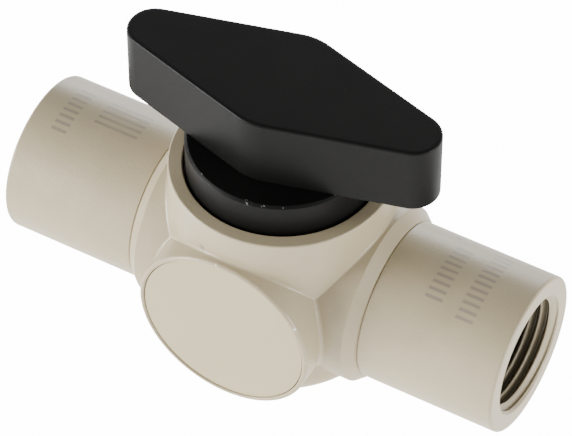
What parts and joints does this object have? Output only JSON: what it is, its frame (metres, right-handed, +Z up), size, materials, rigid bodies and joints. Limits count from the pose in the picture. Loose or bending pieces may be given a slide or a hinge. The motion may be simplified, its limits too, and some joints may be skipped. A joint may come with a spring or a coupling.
{
  "type": "three way valve",
  "caption": "Plastic three way ball valve: straight run of threaded tubes, short back port, plugged front boss, round collar and lozenge knob.",
  "frame": {"origin": "middle of the flat underside, straight below the ball", "axes": "+X along the straight run towards the right port, +Y towards the back port, +Z up the stem to the knob"},
  "size_m": [0.074, 0.0397, 0.0463],
  "materials": {
    "body_plastic": "satin moulded plastic, beige grey",
    "plug_plastic": "satin moulded plastic, beige grey",
    "knob_plastic": "satin moulded plastic, black",
    "seat_fluoropolymer": "waxy turned fluoropolymer, white",
    "seal_rubber": "moulded rubber, black",
    "ball_plastic": "polished moulded plastic, pale beige",
    "stem_plastic": "smooth moulded plastic, pale beige",
    "gland_plastic": "moulded plastic, dark grey",
    "spring_steel": "bright spring wire"
  },
  "bodies": {
    "body": {"valve_body": "body_plastic", "front_plug": "plug_plastic", "front_plug_seal": "seal_rubber", "left_seat_ring": "seat_fluoropolymer", "right_seat_ring": "seat_fluoropolymer", "back_seat_ring": "seat_fluoropolymer", "front_seat_ring": "seat_fluoropolymer", "left_seat_backing_ring": "seal_rubber", "right_seat_backing_ring": "seal_rubber", "back_seat_backing_ring": "seal_rubber", "front_seat_backing_ring": "seal_rubber", "stem_thrust_washer": "seat_fluoropolymer", "stem_seal_lower": "seal_rubber", "stem_spacer_ring": "gland_plastic", "stem_seal_upper": "seal_rubber", "gland_ring": "gland_plastic"},
    "rotor": {"knob": "knob_plastic", "stem": "stem_plastic", "ball": "ball_plastic", "knob_snap_ring": "spring_steel"}
  },
  "joints": [
    {"name": "stem_turn", "type": "hinge", "parent": "body", "child": "rotor", "pos_m": [0, 0, 0.0134], "axis": [0, 0, 1], "range_deg": [0, 90]}
  ]
}
